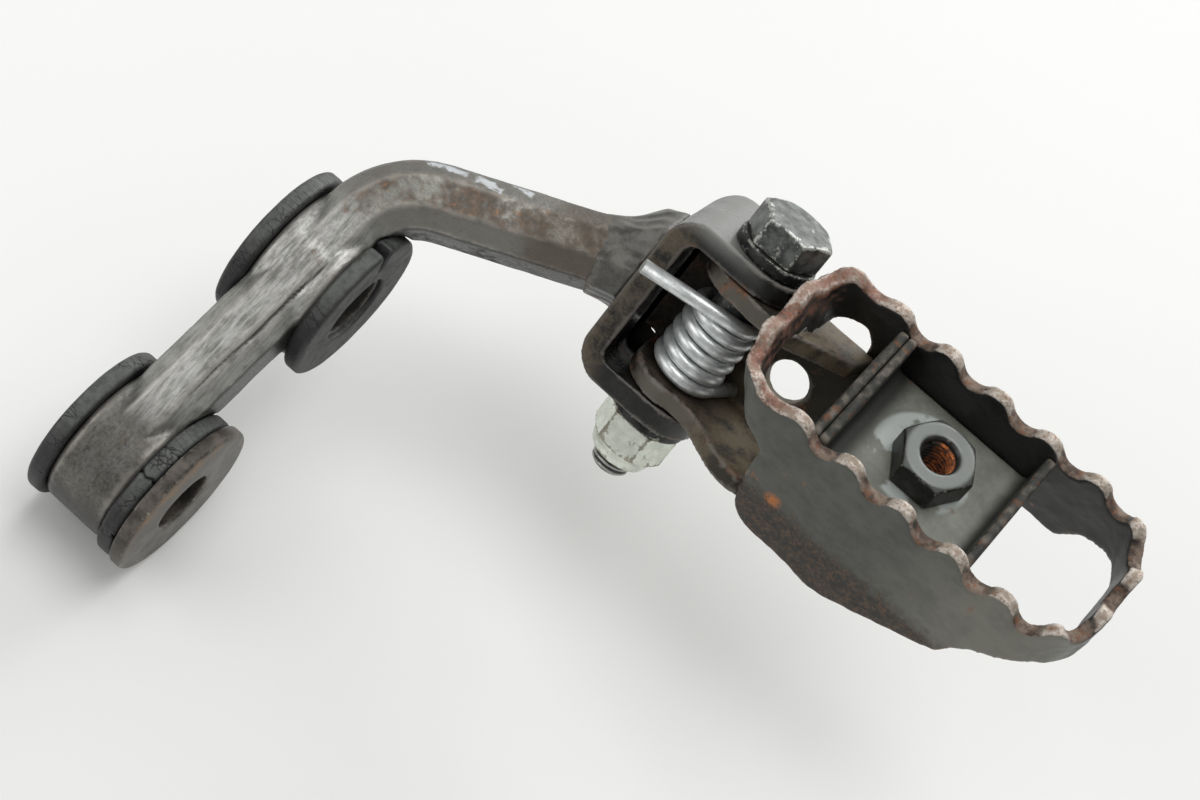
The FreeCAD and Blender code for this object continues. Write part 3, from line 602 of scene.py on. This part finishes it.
def plated_finish(name, base, light, grime, fleck, flecks, rough=0.40, shine=0.7, top=None):
    """Plated or bare steel with grime in its hollows and flecks where the surface has gone."""
    f = Finish(name)
    cloud = f.grain(3, 6, 0.65)
    speck = f.grain(0.7, 4, 0.65)
    tone = f.mix(f.span(cloud, 0.36, 0.66), base, light)
    soil = f.span(f.sum(f.kept("edge"), cloud, 0.5), 0.70, 0.50)
    tone = f.coat(tone, grime, soil, 0.75)
    chipped = f.sum(f.sum(f.kept("edge"), speck, 0.5), f.grain(2.5, 4), 0.6)
    tone = f.coat(tone, fleck, f.span(chipped, 1.25 - flecks, 1.35 - flecks), 0.8)
    if top:
        tone = f.coat(tone, top, f.span(f.kept("skyward"), 0.72, 0.95), 0.8)
    metal = f.span(soil, 0, 1, shine, 0.1)
    return f.wear(tone, f.blend(soil, rough, 0.70), metal, f.relief(speck, 0.08, 0.6))


# Where layers of the plate washer begin and end, in millimetres
STAIN_RISE = (4, 20)
DISC_FACE = (1.4, 2.0)
DISC_RING = (12, 16)


def washer_finish():
    """Grey steel with a brown stain on the upper part of its face and a darker rim."""
    f = Finish("stained_washer")
    cloud = f.grain(5, 6, 0.65)
    speck = f.grain(0.7, 4, 0.65)
    tone = f.mix(f.span(cloud, 0.36, 0.66), shade(73, 70, 64), shade(106, 102, 94))
    stain = f.span(f.sum(cloud, speck, 0.4), 0.55, 0.85)
    stain = f.times(stain, f.along(LINK_TOP, LOWER_EYE, *STAIN_RISE))
    face = f.along(OUTWARD, DISC, *DISC_FACE)
    ring = f.times(f.less(f.near(DISC, *DISC_RING)), face)
    tone = f.coat(tone, shade(146, 112, 72), f.times(stain, ring), 0.7)
    rim = f.mix(f.span(cloud, 0.4, 0.62), shade(58, 54, 51), shade(94, 86, 80))
    tone = f.mix(f.span(face, 0, 1, 0.65, 0), tone, rim)
    edge = f.span(f.sum(f.kept("edge"), speck, 0.4), 0.88, 1.04)
    tone = f.coat(tone, shade(176, 172, 161), edge, 0.7)
    shine = f.span(stain, 0, 1, 0.5, 0.1)
    return f.wear(tone, f.blend(stain, 0.42, 0.7), shine, f.relief(f.sum(speck, cloud), 0.10, 0.5))


# The side of the insert's thread that is rusty, and where the rust begins, in millimetres
RUSTY_SIDE = (0.78, 0.62, 0)
RUSTY_FROM = (-2, 3.5)


def thread_finish():
    """Rusty thread, blackened on the other side."""
    f = Finish("rusty_thread")
    brown = f.mix(f.span(f.grain(1.2, 4, 0.65), 0.38, 0.62), shade(86, 51, 33), shade(196, 110, 51))
    side = f.along(RUSTY_SIDE, INSERT, *RUSTY_FROM)
    rusty = f.span(f.sum(side, f.grain(2, 3), 0.4), 0.45, 1.0)
    return f.wear(f.mix(rusty, shade(22, 19, 16), brown), 0.7)


# Piece helpers
def piece(name, mesh, body, slot, material, *nodes):
    """Put a finished mesh in the scene on its body, in place of CAD nodes if any are named."""
    obj = bpy.data.objects.new(name, mesh)
    bpy.context.scene.collection.objects.link(obj)
    mesh.materials.clear()
    mesh.materials.append(material)
    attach(obj, body)
    if nodes:
        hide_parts(*nodes)
    return obj


def vertex_array(mesh, field):
    values = np.empty(len(mesh.vertices) * 3)
    mesh.vertices.foreach_get(field, values)
    return values.reshape(-1, 3)


# How often, and by what share, the kept edge value is evened out over its neighbours
EDGE_ROUNDS = 4
EDGE_SHARE = 0.6


def keep_values(mesh, name, values):
    layer = mesh.attributes.new(name, "FLOAT", "POINT")
    layer.data.foreach_set("value", np.clip(values, 0, 1).astype(np.float32))


def keep_edges(mesh, grid, gain, up):
    """Keep how convex the surface is at each vertex and how far it faces up, for the finishes."""
    count = len(mesh.vertices)
    ends = np.empty(len(mesh.edges) * 2, dtype=np.int64)
    mesh.edges.foreach_get("vertices", ends)
    a, b = ends[0::2], ends[1::2]
    degree = np.maximum(np.bincount(a, minlength=count) + np.bincount(b, minlength=count), 1)

    def around(values):
        return (np.bincount(a, values[b], count) + np.bincount(b, values[a], count)) / degree

    places = vertex_array(mesh, "co")
    normals = vertex_array(mesh, "normal")
    neighbours = np.stack([around(places[:, k]) for k in range(3)], 1)
    bend = ((places - neighbours) * normals).sum(1) / grid
    for _ in range(EDGE_ROUNDS):
        bend = (1 - EDGE_SHARE) * bend + EDGE_SHARE * around(bend)
    keep_values(mesh, "edge", 0.5 + bend * gain)
    keep_values(mesh, "skyward", normals @ np.array(up))


def keep_flat(mesh):
    """Keep plain values on a mesh that has no worn edges."""
    count = len(mesh.vertices)
    keep_values(mesh, "edge", np.full(count, 0.5))
    keep_values(mesh, "skyward", vertex_array(mesh, "normal") @ np.array(TREAD_UP))


# Closest vertices that are merged, in millimetres, and the noise of forging lumps
MERGE = 0.0005
LUMP_FADE = 1.0
LUMP_STEP = 2.0
LUMP_LAYERS = 3


def even_mesh(node, grid):
    """A copy of a CAD node with faces of even size, grid millimetres wide."""
    mesh = frame["nodes"][node].data.copy()
    bm = bmesh.new()
    bm.from_mesh(mesh)
    bmesh.ops.remove_doubles(bm, verts=bm.verts, dist=MERGE * MM)
    bm.to_mesh(mesh)
    bm.free()
    source = bpy.data.objects.new(node + "_grid", mesh)
    bpy.context.scene.collection.objects.link(source)
    remesh = source.modifiers.new("even_grid", "REMESH")
    remesh.mode = "VOXEL"
    remesh.voxel_size = grid * MM
    bpy.context.view_layer.update()
    evaluated = source.evaluated_get(bpy.context.evaluated_depsgraph_get())
    even = bpy.data.meshes.new_from_object(evaluated)
    bpy.data.objects.remove(source)
    return even


def dressed(node, grid, relax, lumps=0.0, lump_size=6.0, shape=None, up=TREAD_UP, gain=3.0):
    """An even, softly rounded copy of a CAD node, with forging or wear lumps in millimetres."""
    mesh = even_mesh(node, grid)
    bm = bmesh.new()
    bm.from_mesh(mesh)
    for _ in range(relax):
        bmesh.ops.smooth_vert(bm, verts=bm.verts, factor=0.5,
                              use_axis_x=True, use_axis_y=True, use_axis_z=True)
    bm.normal_update()
    if lumps or shape:
        moves = []
        for v in bm.verts:
            spot = v.co / (lump_size * MM)
            push = lumps * noise.fractal(spot, LUMP_FADE, LUMP_STEP, LUMP_LAYERS)
            if shape:
                push += shape(v.co)
            moves.append(v.normal * (push * MM))
        for v, move in zip(bm.verts, moves):
            v.co += move
    for face in bm.faces:
        face.smooth = True
    bm.to_mesh(mesh)
    bm.free()
    keep_edges(mesh, grid * MM, gain, up)
    return mesh


def around_axis(point, origin, axis, side):
    """Distance along an axis in millimetres, radius in millimetres and angle about it."""
    arm = (point - origin) / MM
    along = arm.dot(axis)
    flat = arm - axis * along
    return along, flat.length, math.atan2(flat.dot(axis.cross(side)), flat.dot(side))


def clamped(value):
    return max(0.0, min(1.0, value))


# Bolt thread past the nut
THREAD_PITCH = 1.5
THREAD_DEPTH = 0.5
THREAD_FROM = -37.5
THREAD_CORE = 4.0


def bolt_thread(point):
    along, radius, angle = around_axis(point, PIVOT, PIVOT_AXIS, OUTWARD)
    if along > THREAD_FROM or radius < THREAD_CORE:
        return 0.0
    return -THREAD_DEPTH * (0.5 + 0.5 * math.cos(FULL_TURN * along / THREAD_PITCH - angle))


# Forging crease along the link, beside the top flat
CREASE_OFF = 4.4
CREASE_WIDTH = 0.45
CREASE_DEPTH = 0.7
CREASE_FROM = -44.0
CREASE_TO = 8.0
CREASE_FADE = 8.0
CREASE_HEIGHT = 12.0
CREASE_WANDER = 0.5
WANDER_LENGTH = 7.0
WANDER_ROW = (0.3, 0.7)
LINK_SKEW = 0.053


def arm_crease(point):
    place = (point - UPPER_EYE) / MM
    along = place.dot(LINK)
    if not CREASE_FROM < along < CREASE_TO or place.dot(LINK_TOP) < CREASE_HEIGHT:
        return 0.0
    wander = CREASE_WANDER * noise.noise(Vector((along / WANDER_LENGTH, *WANDER_ROW)))
    off = place.x - LINK_SKEW * along - CREASE_OFF - wander
    fade = min(1, (along - CREASE_FROM) / CREASE_FADE, (CREASE_TO - along) / CREASE_FADE)
    return -CREASE_DEPTH * fade * math.exp(-(off / CREASE_WIDTH) ** 2)


# Ripples of the weld bead round the bar's end, and the start that sinks under the bar's surface
RIPPLES = 22
RIPPLE_HEIGHT = 0.09
RIPPLE_LEAN = 0.5
RIPPLE_SHIFT = 3
DRIFT = 1.4
DRIFT_SIZE = 9
DRIFT_HEIGHT = 0.35
CALM_RUN = 4
WELD_SINK = 0.13
SINK_RUN = 6
SINK_UNEVEN = 0.5
UNEVEN_SIZE = 4


def weld_ripple(point):
    along, _, angle = around_axis(point, WELD, OUTWARD, FOLD_WAY)
    drift = DRIFT * noise.noise(point / (DRIFT_SIZE * MM))
    ripple = math.sin(RIPPLES * angle + along * RIPPLE_LEAN + RIPPLE_SHIFT * drift)
    return clamped(1 + along / CALM_RUN) * (RIPPLE_HEIGHT * ripple + DRIFT_HEIGHT * drift)


def sink_weld(mesh):
    """Draw the bead's start in under the bar's surface, along an uneven line."""
    for v in mesh.vertices:
        along = (v.co - WELD).dot(OUTWARD)
        start = clamped(-along / (SINK_RUN * MM))
        uneven = 1 + SINK_UNEVEN * noise.noise(v.co / (UNEVEN_SIZE * MM))
        axis_spot = WELD + OUTWARD * along
        v.co = axis_spot + (v.co - axis_spot) * (1 - WELD_SINK * start * uneven)


# Splits across the rubber of the lower eye, as angles from the link's direction
SPLITS = (0.15, 0.70, 1.22, 1.62, 2.5, 3.6, 4.9)
SPLIT_WIDTH = 0.28
SPLIT_DEPTH = 0.8
SPLIT_VARIES = 0.5
VARY_RATE = 5
SPLIT_SWAY = 0.35
SWAY_RATE = 1.9
SPLITS_FROM_RADIUS = 17.5


def rubber_split(point):
    along, radius, angle = around_axis(point, LOWER_EYE, OUTWARD, LINK)
    if radius < SPLITS_FROM_RADIUS:
        return 0.0
    push = 0.0
    for k, split in enumerate(SPLITS):
        off = (angle - split + math.pi) % FULL_TURN - math.pi
        off = off * radius + SPLIT_SWAY * math.sin(along * SWAY_RATE + k)
        depth = SPLIT_DEPTH + SPLIT_VARIES * math.sin(VARY_RATE * k)
        push -= depth * math.exp(-(off / SPLIT_WIDTH) ** 2)
    return push


# Return spring wound in close coils, with a leg at each end
WIRE_R = 1.75
COIL_R = 7.15
COIL_PITCH = 3.7
COIL_TURNS = 5
COIL_FROM = -11.05
ENTER = math.radians(20)
LEAVE = math.radians(70.5)
WEB_LEG = 12.0
WALL_LEG = 23.8
TURN_STEPS = 40
WIRE_SIDES = 16


def spoke(angle):
    """The direction from the pivot axis at an angle."""
    return OUTWARD * math.cos(angle) + FOLD_WAY * math.sin(angle)


def of_kind(geometry, kind):
    return [item for item in geometry if isinstance(item, kind)]


def spring_wire():
    bm = bmesh.new()
    winding = -PIVOT_AXIS
    enter_way = winding.cross(spoke(ENTER))
    leave_way = winding.cross(spoke(LEAVE))
    hoop_turn = Matrix((spoke(ENTER), PIVOT_AXIS, enter_way)).transposed().to_4x4()
    hoop_spot = PIVOT + (spoke(ENTER) * COIL_R + PIVOT_AXIS * COIL_FROM) * MM
    hoop = bmesh.ops.create_circle(bm, segments=WIRE_SIDES, radius=WIRE_R * MM,
                                   matrix=Matrix.Translation(hoop_spot) @ hoop_turn)
    first = hoop["verts"]
    first_edges = list({e for v in first for e in v.link_edges})
    turn = FULL_TURN * COIL_TURNS + LEAVE - ENTER
    steps = round(TURN_STEPS * turn / FULL_TURN)
    rise = PIVOT_AXIS * (COIL_PITCH * MM * turn / FULL_TURN / steps)
    coil = bmesh.ops.spin(bm, geom=first + first_edges, cent=PIVOT, axis=winding, dvec=rise,
                          angle=turn, steps=steps)
    last_edges = of_kind(coil["geom_last"], bmesh.types.BMEdge)
    for edges, move in ((first_edges, -enter_way * WEB_LEG), (last_edges, leave_way * WALL_LEG)):
        leg = bmesh.ops.extrude_edge_only(bm, edges=edges)["geom"]
        bmesh.ops.translate(bm, verts=of_kind(leg, bmesh.types.BMVert), vec=move * MM)
        bmesh.ops.contextual_create(bm, geom=of_kind(leg, bmesh.types.BMEdge))
    bmesh.ops.recalc_face_normals(bm, faces=bm.faces)
    for face in bm.faces:
        face.smooth = len(face.verts) == 4
    mesh = bpy.data.meshes.new("spring_wire")
    bm.to_mesh(mesh)
    bm.free()
    keep_flat(mesh)
    return mesh


# Thread inside the tread insert: radius and height of a turn's corners
INSERT_R = 4.25
INSERT_PITCH = 1.25
INSERT_TURNS = 8.4
INSERT_ROOT = INSERT_R + 0.15
INSERT_CREST = INSERT_R - 0.5
INSERT_TURN = [(INSERT_ROOT, 0.0), (INSERT_CREST, 0.45), (INSERT_CREST, 0.65), (INSERT_ROOT, 1.1)]


def insert_thread():
    bm = bmesh.new()
    corners = []
    for radius, height in INSERT_TURN:
        spot = (INSERT.x + radius * MM, INSERT.y, INSERT_LOW + height * MM)
        corners.append(bm.verts.new(spot))
    edges = [bm.edges.new(pair) for pair in zip(corners, corners[1:])]
    steps = round(TURN_STEPS * INSERT_TURNS)
    rise = TREAD_UP * (INSERT_PITCH * MM * INSERT_TURNS / steps)
    bmesh.ops.spin(bm, geom=corners + edges, cent=INSERT, axis=TREAD_UP, dvec=rise,
                   angle=FULL_TURN * INSERT_TURNS, steps=steps)
    bmesh.ops.recalc_face_normals(bm, faces=bm.faces)
    mesh = bpy.data.meshes.new("insert_thread")
    bm.to_mesh(mesh)
    bm.free()
    keep_flat(mesh)
    return mesh


# Finishes
arm_steel = arm_finish()
clevis_paint = paint_finish("worn_clevis", shade(15, 15, 15), shade(37, 36, 34),
                            worn=0.0, rust=0.05, gloss=0.24, clevis=True)
channel_paint = paint_finish("worn_channel", shade(29, 26, 24), shade(77, 68, 57),
                             worn=0.04, rust=0.13, gloss=0.5, sheen=0.3,
                             cut_edge=shade(92, 88, 80))
weld_paint = paint_finish("painted_weld", shade(64, 63, 59), shade(106, 105, 99),
                          worn=-0.1, rust=0.08, gloss=0.26)
rim_steel = rim_finish()
pan_paint = pan_finish()
rubber = rubber_finish()
washer_steel = washer_finish()
thread_rust = thread_finish()
sleeve_steel = plated_finish("dark_sleeve", shade(40, 40, 37), shade(59, 58, 55),
                             grime=shade(22, 22, 21), fleck=shade(95, 90, 81),
                             flecks=0.0, rough=0.5, shine=0.3)
bolt_steel = plated_finish("grey_bolt", shade(66, 68, 67), shade(110, 113, 110),
                           grime=shade(34, 34, 34), fleck=shade(192, 193, 187), flecks=0.11)
dark_washer = plated_finish("black_washer", shade(37, 37, 37), shade(62, 62, 61),
                            grime=BLACK_GRIME, fleck=shade(165, 163, 156), flecks=0.02)
nut_zinc = plated_finish("zinc_nut", shade(208, 213, 201), shade(230, 234, 224),
                         grime=shade(122, 117, 100), fleck=shade(128, 120, 102), flecks=0.13)
wire_zinc = plated_finish("bright_wire", shade(196, 200, 200), shade(231, 234, 233),
                          grime=shade(101, 99, 95), fleck=shade(132, 121, 108),
                          flecks=-0.12, rough=0.36)
insert_steel = plated_finish("black_insert", shade(40, 40, 38), shade(64, 64, 62),
                             grime=BLACK_GRIME, fleck=shade(139, 136, 130),
                             flecks=0.04, shine=0.5, top=shade(123, 127, 123))
nylon = plated_finish("dark_nylon", shade(48, 50, 55), shade(66, 68, 75),
                      grime=shade(29, 29, 31), fleck=shade(95, 95, 97),
                      flecks=0.0, rough=0.45, shine=0.0)

# Dressed pieces of the bracket
forging = dressed("support_arm", grid=0.6, relax=3, lumps=0.10, lump_size=9,
                  shape=arm_crease, up=LINK_TOP, gain=5.0)
piece("arm_forging", forging, "bracket", "arm_paint", arm_steel, "support_arm")
bent_plate = dressed("clevis", grid=0.55, relax=2, lumps=0.06, lump_size=8, up=FOLD_WAY)
piece("clevis_plate", bent_plate, "bracket", "clevis_paint", clevis_paint, "clevis")
bead = dressed("clevis_weld", grid=0.5, relax=6, shape=weld_ripple)
sink_weld(bead)
piece("weld_bead", bead, "bracket", "weld", weld_paint, "clevis_weld")
for eye in ("upper_inner", "upper_outer", "lower_inner", "lower_outer"):
    node = eye + "_rubber"
    split = rubber_split if eye == "lower_outer" else None
    grommet = dressed(node, grid=0.45, relax=2, lumps=0.08, lump_size=8, shape=split)
    piece(eye + "_grommet", grommet, "bracket", "rubber", rubber, node)
for eye in ("upper", "lower"):
    node = eye + "_sleeve"
    tube = dressed(node, grid=0.45, relax=2)
    piece(eye + "_tube", tube, "bracket", "sleeve_steel", sleeve_steel, node)
disc = dressed("lower_plate_washer", grid=0.45, relax=3, lumps=0.05, lump_size=6)
piece("plate_washer", disc, "bracket", "washer_steel", washer_steel, "lower_plate_washer")
bolt = dressed("pivot_bolt", grid=0.3, relax=4, lumps=0.04, lump_size=4, shape=bolt_thread)
piece("bolt_and_head", bolt, "bracket", "bolt_steel", bolt_steel, "pivot_bolt")
for end in ("head", "nut"):
    node = end + "_washer"
    washer = dressed(node, grid=0.35, relax=3)
    piece("washer_under_" + end, washer, "bracket", "bolt_steel", dark_washer, node)
nut = dressed("lock_nut", grid=0.3, relax=4)
piece("lock_nut_body", nut, "bracket", "nut_zinc", nut_zinc, "lock_nut")
nut_ring = dressed("lock_nut_ring", grid=0.25, relax=2)
piece("lock_nut_nylon", nut_ring, "bracket", "nylon", nylon, "lock_nut_ring")

# Dressed pieces of the footpeg
rim = dressed("tread_rim", grid=0.53, relax=4, lumps=0.20, lump_size=5)
piece("rim_strip", rim, "footpeg", "tread_steel", rim_steel, "tread_rim")
pan = dressed("tread_pan", grid=0.6, relax=3, lumps=0.05, lump_size=9)
piece("pan_sheet", pan, "footpeg", "pan_steel", pan_paint, "tread_pan")
plate = dressed("cross_plate", grid=0.6, relax=3, lumps=0.05, lump_size=9)
piece("plate_sheet", plate, "footpeg", "pan_steel", pan_paint, "cross_plate")
channel = dressed("hinge_channel", grid=0.5, relax=3, lumps=0.10, lump_size=7, up=FOLD_WAY)
piece("channel_plate", channel, "footpeg", "channel_paint", channel_paint, "hinge_channel")
insert = dressed("insert_nut", grid=0.28, relax=4)
piece("insert_body", insert, "footpeg", "insert_steel", insert_steel, "insert_nut")
piece("insert_thread", insert_thread(), "footpeg", "insert_steel", thread_rust)

# The spring twists between the footpeg's web and the clevis wall
wire = bpy.data.objects.new("spring_wire", spring_wire())
bpy.context.scene.collection.objects.link(wire)
wire.data.materials.append(wire_zinc)
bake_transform(wire)
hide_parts("return_spring")

# Stage: a pale table just below the part
FLOOR_DROP = 0.5 * MM
FLOOR_HALF = 3.0
PAPER = (0.89, 0.895, 0.88)
PAPER_LIGHT = (0.92, 0.925, 0.91)
floor_mesh = bpy.data.meshes.new("floor")
bm = bmesh.new()
bmesh.ops.create_grid(bm, x_segments=1, y_segments=1, size=FLOOR_HALF)
bmesh.ops.translate(bm, verts=bm.verts, vec=(0, 0, cad_box[0][2] - FLOOR_DROP))
bm.to_mesh(floor_mesh)
bm.free()
floor = bpy.data.objects.new("floor", floor_mesh)
bpy.context.scene.collection.objects.link(floor)
paper = Finish("pale_table")
paper_tone = paper.mix(paper.grain(180, 2), PAPER, PAPER_LIGHT)
floor_mesh.materials.append(paper.wear(paper_tone, 0.8))

# Light from all round, and three lamps
WORLD_TINT = (1.0, 0.995, 0.98, 1)
WORLD_LEVEL = 0.38
MIDDLE = Vector((0.09, 0.01, 0.01))
world = bpy.data.worlds.new("studio")
world.use_nodes = True
world.node_tree.nodes["Background"].inputs["Color"].default_value = WORLD_TINT
world.node_tree.nodes["Background"].inputs["Strength"].default_value = WORLD_LEVEL
bpy.context.scene.world = world


def soft_light(name, at, size, power):
    """A round lamp that is aimed at the middle of the part."""
    lamp = bpy.data.lights.new(name, "AREA")
    lamp.shape = "DISK"
    lamp.size = size
    lamp.energy = power
    obj = bpy.data.objects.new(name, lamp)
    obj.location = at
    obj.rotation_euler = (MIDDLE - Vector(at)).to_track_quat("-Z", "Y").to_euler()
    bpy.context.scene.collection.objects.link(obj)


soft_light("overhead", (0.10, 0.25, 1.75), size=1.3, power=12)
soft_light("window", (0.15, 1.80, 0.75), size=1.7, power=23.4)
soft_light("reflector", (-0.80, -0.70, 0.70), size=1.0, power=4)

# Camera at the photograph's viewing angle
CAMERA_SPOT = (0.1321, -0.3199, 0.5196)
CAMERA_RIGHT = (0.746, 0.594, 0.302)
CAMERA_UP = (-0.658, 0.586, 0.472)
CAMERA_BACK = (0.103, -0.551, 0.828)
camera = bpy.data.cameras.new("camera")
camera.sensor_width = 36
camera.lens = 81
camera.clip_start = 0.01
view = bpy.data.objects.new("camera", camera)
camera_turn = Matrix((CAMERA_RIGHT, CAMERA_UP, CAMERA_BACK)).transposed().to_4x4()
view.matrix_world = Matrix.Translation(CAMERA_SPOT) @ camera_turn
bpy.context.scene.collection.objects.link(view)
bpy.context.scene.camera = view
